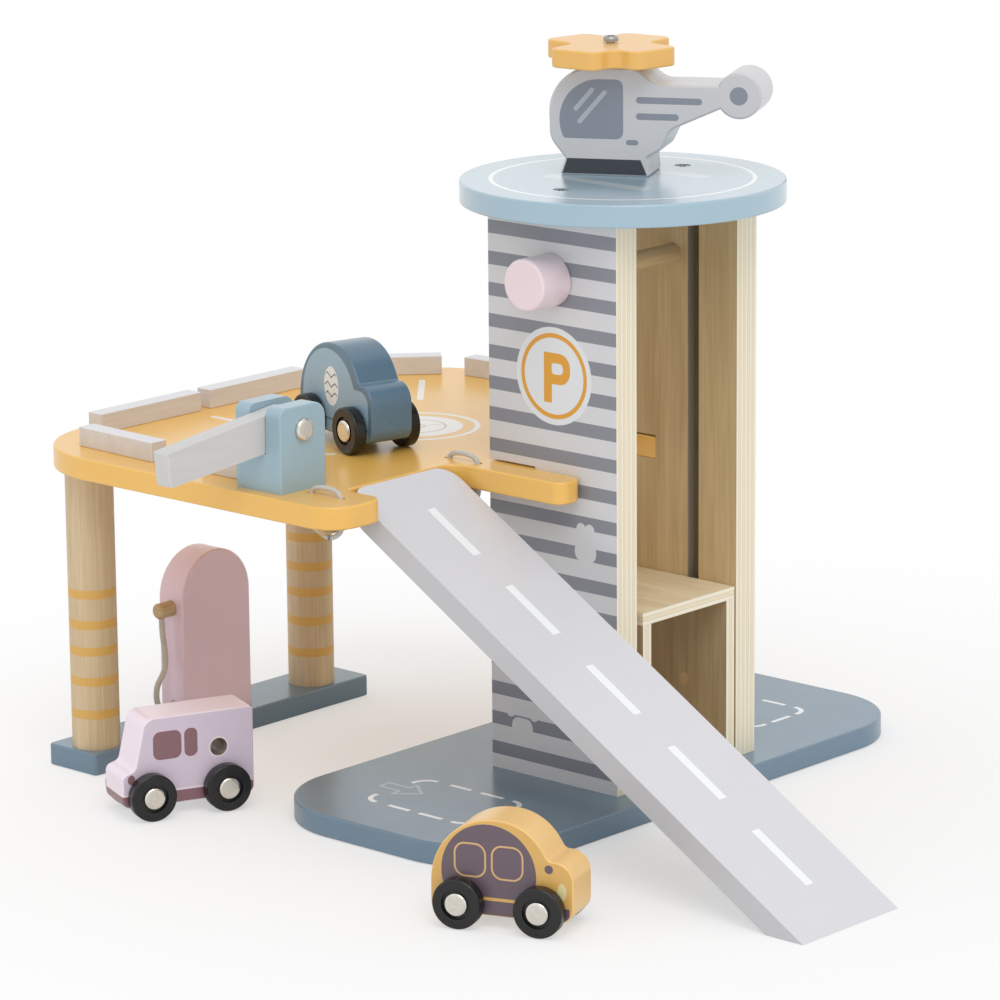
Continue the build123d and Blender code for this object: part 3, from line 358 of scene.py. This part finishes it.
GROOVE_X, GROOVE_Y, GROOVE_FOOT = (30.7, 36.7), (-13.7, -7.3), 22.8


def fibres_along(axis, size=0.7, run=45.0):
    """Fine fibres and wider growth bands of planed wood along one axis, from 0 to 1."""
    drawn = [1.0, 1.0, 1.0]
    drawn[axis] = run
    wide = [1.0, 1.0, 1.0]
    wide[axis] = 9.0
    return clouds(size, drawn, 4.0) * 0.55 + clouds(size * 9, wide, 2.0) * 0.45


def veneer(axis, pale=BIRCH_FACE, dark=BIRCH_FACE_DARK):
    """Bare wood whose fibres run along an axis, and its fibres."""
    fibres = fibres_along(axis)
    spread = ((fibres - 0.30) * 2.5).over(0.0).under(1.0)
    return mixed(spread, tint(dark), tint(pale)), fibres


def ply_edge(across, layers):
    """The sawn edge of plywood, where across goes from 0 to 1 through the board."""
    step = across * layers
    crosswise = (step % 2.0) > 1.0
    glue = (abs(step % 1.0 - 0.5) > 0.43) * 0.45
    streaks = clouds(0.6, (1.0, 1.0, 30.0), 3.0)
    colour = mixed(crosswise * 0.75, tint(BIRCH_EDGE), tint(BIRCH_EDGE_DARK))
    colour = mixed(streaks * 0.35, colour, tint(BIRCH_EDGE_DARK))
    return mixed(glue, colour, tint(GLUE_LINE)), crosswise


for side, name in ((-1, "tower_wall_striped"), (1, "tower_wall_slotted")):
    finish = new_finish("birch ply with printed stripes " + ("left" if side < 0 else "right"))
    x, y, z = on_piece()
    right, _, _ = facing()
    outward = right * side
    stripe = ((z - STRIPE_START) % STRIPE_PITCH) < STRIPE_HEIGHT
    u = (y - SIGN_Y) * side
    track = None
    for middle_y, middle_z in TRACKS:
        p, q = y - middle_y, z - middle_z
        pad = from_box(p, q + 2.6, 11.0, 8.0, 3.6)
        for toe_y, toe_z in TOES:
            pad = pad.under(length_of(p - toe_y, q - toe_z) - TOE_RADIUS)
        track = pad if track is None else track.under(pad)
    stripe = stripe * (1.0 - (track < 0.0))
    colour = mixed(stripe, sprayed(STRIPE_LIGHT, 0.03), sprayed(STRIPE_DARK, 0.03))
    w = z - SIGN_Z
    reach = length_of(u, w)
    letter = from_box(u + 3.15, w + 0.8, 4.1, 19.9, 0.4) < 0.0
    bowl = from_box(u - 1.6, w - 3.0, 13.6, 12.4, 5.6) < 0.0
    bowl = one_of(bowl, from_box(u + 2.15, w - 3.0, 6.1, 12.4, 0.4) < 0.0)
    eye = from_box(u - 1.5, w - 3.0, 6.4, 4.4, 1.9) < 0.0
    letter = one_of(letter, bowl * (1.0 - eye))
    colour = mixed(reach < SIGN_RADIUS, colour, tint(PRINT_WHITE, 0.92))
    orange = one_of(between(reach, *SIGN_RING), letter)
    colour = mixed(orange, colour, tint(SIGN_ORANGE))
    # The slotted wall's bare inner face gets a darker copy of the same birch: painted shade on the face that
    # is turned from the light.
    inside, fibres = veneer(2) if side < 0 else veneer(2, "#d9c397", "#bda276")
    edge, crosswise = ply_edge((x * side - (WALL_OUTSIDE - WALL_THICK)) / WALL_THICK, 9)
    printed = outward > 0.5
    colour = mixed(printed, mixed(abs(right) > 0.5, edge, inside), colour)
    if side > 0:
        # The guide groove in the slotted wall is painted dark brown: painted shade in a narrow recess.
        groove_shade = between(x, *GROOVE_X) * between(y, *GROOVE_Y) * (z > GROOVE_FOOT)
        colour = mixed(groove_shade * 0.7, colour, tint("#5d472f"))
    rough = printed * -0.22 + 0.62
    lay_on(finish, colour, rough, fibres * (1.1 - printed) + crosswise * 0.2, 0.00012)
    dress(finish, name)

# ---- Helipad ---------------------------------------------------------------------------
# Round board of 9 mm ply screwed on the walls, sprayed pale blue and printed with a white
# ring and two faint landing bars.
PALE_BLUE = "#a3bfcf"
RING_RADIUS, RING_LINE = 51.8, 1.7
LANDING_BARS, LANDING_BAR_REACH = ((-19.0, -12.2), (17.0, 23.8)), 26.0
helipad_paint = new_finish("pale blue paint with landing mark")
x, y, z = on_piece()
_, _, up = facing()
reach = length_of(x, y)
mark = one_of(*[between(x, *bar) for bar in LANDING_BARS]) * (abs(y) < LANDING_BAR_REACH)
top = up > 0.7
colour = mixed(mark * top * 0.45, sprayed(PALE_BLUE), tint(PRINT_WHITE))
colour = mixed((abs(reach - RING_RADIUS) < RING_LINE / 2) * top, colour, tint("#f8fbfd"))
dress(paint_skin(helipad_paint, colour, 0.32, (14.0, 1.0, 1.0), 0.9), "helipad")

# ---- Deck ------------------------------------------------------------------------------
# Parking deck of 9 mm ply with rounded corners, sprayed warm yellow. Three bay lines and a
# white roundel with a steering wheel are printed on its top.
DECK_YELLOW = "#f3bf60"
BAY_STROKES = (((-56.9, 173.7), (-56.9, 159.6)), ((50.9, 156.6), (22.6, 131.4)),
               ((-75.0, 88.0), (-92.0, 104.0)))
BAY_STROKE_HALF = 1.35
ROUNDEL, ROUNDEL_DISC, ROUNDEL_RING = (-16.4, 97.2), 19.1, (24.0, 26.2)
WHEEL_RIM, WHEEL_HUB = 12.0, 3.4
deck_paint = new_finish("warm yellow paint with bay lines")
x, y, z = on_piece()
_, _, up = facing()
top = up > 0.7
lines = from_line(x, y, *BAY_STROKES[0])
for ends in BAY_STROKES[1:]:
    lines = lines.under(from_line(x, y, *ends))
u, v = x - ROUNDEL[0], y - ROUNDEL[1]
reach = length_of(u, v)
white = one_of(lines < BAY_STROKE_HALF, between(reach, *ROUNDEL_RING), reach < ROUNDEL_DISC)
wheel = abs(reach - WHEEL_RIM) < 0.55
wheel = one_of(wheel, abs(reach - WHEEL_HUB) < 0.45)
for spoke in (90.0, 210.0, 330.0):
    way = (math.cos(math.radians(spoke)), math.sin(math.radians(spoke)))
    stroke = from_line(u, v, (way[0] * 3.6, way[1] * 3.6), (way[0] * 11.8, way[1] * 11.8))
    wheel = one_of(wheel, stroke < 0.45)
colour = mixed(white * top, sprayed(DECK_YELLOW), tint("#f7f3ee"))
colour = mixed(wheel * top * 0.8, colour, tint("#c9aba0"))
dress(paint_skin(deck_paint, colour, 0.38, (1.0, 14.0, 1.0)), "deck")

# ---- Deck rails and barrier boom -------------------------------------------------------
# Square beech strips glued round the deck, and the barrier's tapered boom. They have one
# thin coat of white that lets the grain show. The rails' sides are painted warmer and darker
# than their tops, as painted shade and bounce light from the yellow deck.
wash = new_finish("white wash on beech")
_, _, up = facing()
wood, fibres = veneer(0, "#dfd9d4", "#cdc5bf")
# Rail tops get mostly white and the sides mostly bare grain: painted light on the tops, painted shade on the
# sides.
colour = mixed((up > 0.5) * 0.80 + 0.12, wood, tint("#e4e4e8"))
dress(lay_on(wash, colour, 0.50, fibres, 0.00012), *["deck_rail_%d" % number for number in range(1, 7)])
boom_paint = new_finish("thin pale grey paint on beech")
wood, fibres = veneer(0, "#d8d6d3", "#c8c5c1")
dress(lay_on(boom_paint, mixed(0.55, wood, tint("#d2d2d4")), 0.45, fibres, 0.0001), "barrier_boom")

# ---- Posts -----------------------------------------------------------------------------
# Two turned beech dowels between the foot bar and the deck, lacquered, with five thin
# yellow rings painted round the lower part of each.
BAND_HEIGHTS, BAND_WIDTH = (74.2, 61.5, 50.4, 37.7, 23.9), 3.7
beech_bands = new_finish("beech with painted rings")
x, y, z = on_piece()
wood, fibres = veneer(2, "#dec9a6", "#c8ac82")
bands = None
for height in BAND_HEIGHTS:
    ring = abs(z - height) < BAND_WIDTH / 2
    bands = ring if bands is None else one_of(bands, ring)
colour = mixed(bands * 0.85, wood, tint("#deac4c"))
dress(lay_on(beech_bands, colour, 0.45, fibres, 0.0001), "post_left", "post_right")
beech = new_finish("bare beech")
wood, fibres = veneer(0, "#dcc297", "#b6966a")
dress(lay_on(beech, wood, 0.5, fibres, 0.0001), "pump_nozzle", "winch_rod", "winch_collar", "lift_guide_pin")

# ---- Fuel pump and winch knob ----------------------------------------------------------
# The pump is an arched slab on the foot bar and the knob is turned; both are sprayed pink,
# the knob in a paler shade.
dress(paint_skin(new_finish("dusty pink paint"), sprayed("#f4d9e6"), 0.42, (1.0, 1.0, 14.0)), "pump_body")
dress(paint_skin(new_finish("pale pink paint"), sprayed("#efdce1"), 0.42), "winch_knob")

# ---- Barrier block ---------------------------------------------------------------------
# A forked block screwed on the deck, sprayed pale blue, with the boom between its ears.
dress(paint_skin(new_finish("pale blue paint"), sprayed("#9db9c6"), 0.40), "barrier_block")

# ---- Ramp ------------------------------------------------------------------------------
# A 9 mm board hung on the deck's notch by its crossbar, sprayed pale grey, with a broken
# white line down its middle.
RAMP_MIDDLE, ROAD_LINE = -86.6, 4.2
ROAD_DASHES = ((-0.2, 24.0), (-41.0, -16.3), (-81.3, -57.0), (-123.0, -97.5), (-164.3, -138.2))
ramp_paint = new_finish("pale grey paint with road line")
x, y, z = on_piece()
_, front, up = facing()
top = (up > 0.5) * (front < -0.2)
dashes = one_of(*[between(y, *dash) for dash in ROAD_DASHES])
# The sides and ends get a darker grey than the top: one paint, with painted shade on the sides.
colour = mixed(top, sprayed("#c6c6ca", 0.02), sprayed("#d9d9de", 0.02))
colour = mixed(dashes * (abs(x - RAMP_MIDDLE) < ROAD_LINE / 2) * top, colour, tint("#f5f8fa"))
dress(paint_skin(ramp_paint, colour, 0.42, (1.0, 14.0, 1.0)), "ramp")
dress(beech, "ramp_crossbar")

# ---- Lift cabin ------------------------------------------------------------------------
# Four panels of 5 mm ply glued into a sleeve, left bare. The roof and floor show three
# layers on their edges, and so do the sides.
CABIN_PANEL = 5.0
# The roof is given the palest ply, the floor a darker one and the sides the darkest: lit and shaded copies
# of one ply, painted light and shade.
for name, axis, low, run, pale, dark in (
        ("lift_roof", 2, 75.0, 1, "#f4e6c9", "#d9c49e"), ("lift_floor", 2, 9.0, 1, "#d9c49c", "#bba27a"),
        ("lift_side_left", 0, -26.3, 2, "#c3ae8a", "#a58d66"),
        ("lift_side_right", 0, 25.1, 2, "#c3ae8a", "#a58d66")):
    finish = new_finish("bare ply " + name)
    here = on_piece()
    outwards = facing()
    face, fibres = veneer(run, pale, dark)
    edge, crosswise = ply_edge((here[axis] - low) / CABIN_PANEL, 3)
    colour = mixed(abs(outwards[axis]) > 0.5, edge, face)
    dress(lay_on(finish, colour, 0.6, fibres + crosswise * 0.2, 0.00012), name)

# ---- Screws, bolt and axles ------------------------------------------------------------
# Zinc-plated countersunk screws, and nickel-plated pins with domed caps in the barrier
# and the wheels.
steel = new_finish("zinc plated steel")
scuffs = clouds(0.5, (1.0, 1.0, 1.0), 4.0)
plate = mixed(scuffs, tint("#8d8d8c"), tint("#b9b8b4"))
lay_on(steel, plate, scuffs * 0.2 + 0.25, scuffs, 0.00003, metallic=1.0)
dress(steel, "base_screws", "helipad_screws", "foot_screws", "barrier_block_screws", "rotor_screw")
nickel = new_finish("polished nickel plate")
scuffs = clouds(1.5, (1.0, 1.0, 1.0), 4.0)
plate = mixed(scuffs, tint("#c9c5bb"), tint("#efece4"))
lay_on(nickel, plate, scuffs * 0.12 + 0.12, scuffs, 0.00002, metallic=1.0)
CARS = ("yellow_car", "pink_van", "blue_car")
dress(nickel, "barrier_bolt", *[car + end for car in CARS for end in ("_front_axle", "_rear_axle")])

# ---- Wheels ----------------------------------------------------------------------------
# Black moulded plastic wheels, satin, dished for the axle's cap.
tyre = new_finish("black moulded plastic")
pits = clouds(0.35, (1.0, 1.0, 1.0), 3.0)
lay_on(tyre, mixed(clouds(4.0), tint("#0d0d0f"), tint("#1b1c1f")), pits * 0.12 + 0.20, pits, 0.00003)
dress(tyre, *[car + end for car in CARS for end in ("_front_wheels", "_rear_wheels")])

# ---- Helicopter ------------------------------------------------------------------------
# A thick slab sawn to shape, sprayed light grey. A plain cabin window, three bars, the
# skid and a tail dot are printed on both sides. The rotor is sawn from a yellow board.
HELI_TURN = math.radians(-62.0)
HELI_FOOT = 246.0
heli_paint = new_finish("light grey paint with printed window")
x, y, z = on_piece()
right, front, _ = facing()
u = x * math.cos(HELI_TURN) + y * math.sin(HELI_TURN)
w = z - HELI_FOOT
side_on = abs(right * math.sin(HELI_TURN) - front * math.cos(HELI_TURN)) > 0.85
window = from_box(u + 12.8, w - 26.5, 25.6, 23.6, 3.0) < 0.0
window = window * one_of(length_of(u + 9.4, w - 22.1) < 16.2, u > -9.4)
glint = from_line(u, w, (-19.0, 26.5), (-12.5, 34.0))
glint = glint.under(from_line(u, w, (-17.5, 21.5), (-7.5, 33.0)))
bars = from_line(u, w, (6.4, 30.4), (30.2, 30.4))
bars = bars.under(from_line(u, w, (6.4, 24.0), (20.9, 24.0)))
bars = bars.under(from_line(u, w, (2.2, 13.6), (5.0, 13.6)) + 0.25)
tail_dot = length_of(u - 46.0, w - 33.1) < 3.6
colour = mixed(one_of(window, bars < 1.3, tail_dot) * side_on, sprayed("#c9c9cc", 0.03), tint("#848b98"))
colour = mixed((glint < 0.9) * window * side_on * 0.55, colour, tint("#c9d0d8"))
sloped = abs(u + 7.9) + (w * 0.42) < 17.7
skid = between(w, 0.5, 6.8) * sloped
colour = mixed(skid * side_on, colour, tint("#2b303a"))
dress(paint_skin(heli_paint, colour, 0.42), "helicopter_body")
dress(paint_skin(new_finish("yellow rotor paint"), sprayed("#f0bb64"), 0.42, (14.0, 1.0, 1.0)), "rotor")


# ---- Cars ------------------------------------------------------------------------------
# Three cars sawn from 19 mm boards and sprayed, with prints on both sides. Two have plain
# windows, a lamp and a dark sill; the blue one has a pale panel and an oval of chevrons.
def car_frame(place, heading, ground):
    """Along and up a car's side from the ground between its axles, and where it faces sideways."""
    turn = math.radians(heading)
    x, y, z = on_piece()
    right, front, _ = facing()
    u = (x - place[0]) * math.cos(turn) + (y - place[1]) * math.sin(turn)
    side_on = abs(front * math.cos(turn) - right * math.sin(turn)) > 0.9
    nose_on = right * math.cos(turn) + front * math.sin(turn)
    return u, z - ground, side_on, nose_on


car_yellow = new_finish("yellow car paint with prints")
u, w, side_on, _ = car_frame((-164.5, -86.5), -69.3, 0.0)
PLUM = "#665560"
dome = length_of(u + 5.0, w - 21.0) < 18.6
dome = dome * (w > 11.9)
dome = one_of(dome, between(u, -23.0, 13.4) * between(w, 11.9, 21.0))
sill = between(w, 5.0, 10.7) * (abs(u) < 26.5)
pane_edge = abs(from_box(u + 12.3, w - 25.5, 12.0, 12.5, 4.0))
pane_edge = pane_edge.under(abs(from_box(u - 2.3, w - 25.5, 12.0, 12.5, 4.0)))
dot = length_of(u - 18.5, w - 25.0) < 1.65
lamp = length_of((u - 23.6) * 1.9, w - 16.8) < 3.3
# The flat sides get a darker yellow than the rounded top and ends: one paint as lit and shaded copies,
# painted light on top and painted shade on the sides.
colour = mixed(side_on, sprayed("#f2c57c"), sprayed("#deb060"))
colour = mixed(one_of(dome, sill, dot) * side_on, colour, tint(PLUM))
colour = mixed((pane_edge < 0.35) * dome * side_on, colour, tint("#d8ae77"))
colour = mixed(lamp * side_on, colour, tint("#e6d7a0"))
dress(paint_skin(car_yellow, colour, 0.40), "yellow_car_body")

van_paint = new_finish("lilac van paint with prints")
u, w, side_on, nose_on = car_frame((-143.1, 110.1), 157.5, 0.0)
panes = one_of(from_box(u - 8.0, w - 29.0, 12.0, 11.5, 3.0) < 0.0,
               from_box(u + 2.0, w - 29.0, 5.6, 11.5, 2.5) < 0.0)
from_bore = length_of(u + 13.7, w - 25.5)
sill = between(w, 4.2, 9.9) * (abs(u) < 29.0)
trim = between(w, 10.0, 10.8) * (abs(u) < 27.5)
lamp = length_of((u - 23.4) * 1.3, w - 16.6) < 2.0
bumper = (nose_on > 0.3) * between(w, 4.0, 10.0)
# The flat sides get a darker lilac than the rounded top and ends: one paint as lit and shaded copies,
# painted light on top and painted shade on the sides.
colour = mixed(side_on, sprayed("#f5e6f3", 0.03), sprayed("#d9cadb", 0.03))
colour = mixed(one_of(panes, sill, lamp) * side_on, colour, tint("#8a646c"))
colour = mixed(bumper, colour, tint("#8a646c"))
colour = mixed(one_of(from_bore < 4.15, trim) * side_on, colour, tint("#efe3ea"))
# Inside the bore the wall is painted dark grey-brown: painted shade in the hole.
colour = mixed((from_bore < 3.75) * (1.0 - side_on), colour, tint("#93837b"))
dress(paint_skin(van_paint, colour, 0.40), "pink_van_body")

blue_paint = new_finish("slate blue car paint with prints")
u, w, side_on, _ = car_frame((-54.4, 94.8), -105.2, 135.1)
panel = one_of(length_of(u + 4.6, w - 18.5) < 20.4, between(u, -25.2, 16.0) * between(w, 4.8, 18.6))
panel = one_of(panel, from_box(u - 10.0, w - 14.0, 31.0, 23.0, 6.0) < 0.0)
oval = length_of((u + 2.8) * 1.45, w - 23.9)
chevrons = abs((w + abs((u + 2.8) % 5.6 - 2.8) * 0.7) % 3.9 - 1.95) < 0.33
sill_line = abs(w - 10.4) < 0.4
colour = mixed(panel * side_on, sprayed("#58768b"), sprayed("#95b3c7", 0.03))
colour = mixed(sill_line * side_on * panel, colour, tint("#6c8593"))
colour = mixed((oval < 8.0) * side_on, colour, tint("#eceef0"))
colour = mixed((oval < 7.2) * chevrons * side_on, colour, tint("#5b6570"))
dress(paint_skin(blue_paint, colour, 0.36), "blue_car_body")

# ---- Floor and light -------------------------------------------------------------------
# A seamless white studio floor under one broad soft light from the upper front, with white
# all round it. The floor keeps the set's shadow and fades to plain white further out.
FLOOR_SIZE, FLOOR_DROP = 16.0, 0.0002
FLOOR_MIDDLE = 1.5             # metres along X and Y, where the floor's own coordinates start
SHADE_REACH, SHADE_FADE = 120.0, 300.0
SHADE_LEAST_WHITE = 0.38
AMBIENT = 0.77
KEY_STRENGTH, KEY_WIDTH = 0.85, math.radians(38.0)
KEY_WAY = (0.36, 0.48, -0.80)  # the way its light travels
bpy.ops.mesh.primitive_plane_add(size=FLOOR_SIZE, location=(FLOOR_MIDDLE, FLOOR_MIDDLE, -FLOOR_DROP))
floor = bpy.context.object
floor.name = "studio_floor"
floor_white = new_finish("studio white")
x, y, z = on_piece()
reach = length_of(x + FLOOR_MIDDLE * MM, y + FLOOR_MIDDLE * MM)
away = ((reach - SHADE_REACH) / SHADE_FADE).over(0.0).under(1.0)
seen = Paint.node("ShaderNodeLightPath", output="Is Camera Ray")
glow = Paint.node("ShaderNodeEmission", inputs={"Color": (1.0, 1.0, 1.0, 1.0), "Strength": 1.0})
matt = Paint.node("ShaderNodeBsdfDiffuse", inputs={"Color": (0.94, 0.935, 0.93, 1.0)})
lift = (away * (1.0 - SHADE_LEAST_WHITE) + SHADE_LEAST_WHITE) * seen
ground = Paint.node("ShaderNodeMixShader", inputs={0: lift, 1: matt, 2: glow})
Paint.tree.links.new(ground.socket, Paint.tree.nodes["Material Output"].inputs["Surface"])
floor.data.materials.append(floor_white)

bpy.ops.object.light_add(type="SUN")
key = bpy.context.object
key.name = "soft_key_light"
key.data.energy = KEY_STRENGTH
key.data.angle = KEY_WIDTH
key.rotation_mode = "QUATERNION"
key.rotation_quaternion = Vector(KEY_WAY).to_track_quat("-Z", "Y")

world = bpy.data.worlds.new("white_studio")
world.use_nodes = True
bpy.context.scene.world = world
Paint.tree = world.node_tree
direct = Paint.node("ShaderNodeLightPath", output="Is Camera Ray")
mirrored = Paint.node("ShaderNodeLightPath", output="Is Glossy Ray")
passed = Paint.node("ShaderNodeLightPath", output="Is Transmission Ray")
white_seen = one_of(direct, mirrored, passed)
backdrop = Paint.tree.nodes["Background"]
backdrop.inputs["Color"].default_value = (1.0, 1.0, 1.0, 1.0)
strength = white_seen * (1.0 - AMBIENT) + AMBIENT
Paint.tree.links.new(strength.socket, backdrop.inputs["Strength"])
bpy.context.scene.view_settings.view_transform = "Standard"
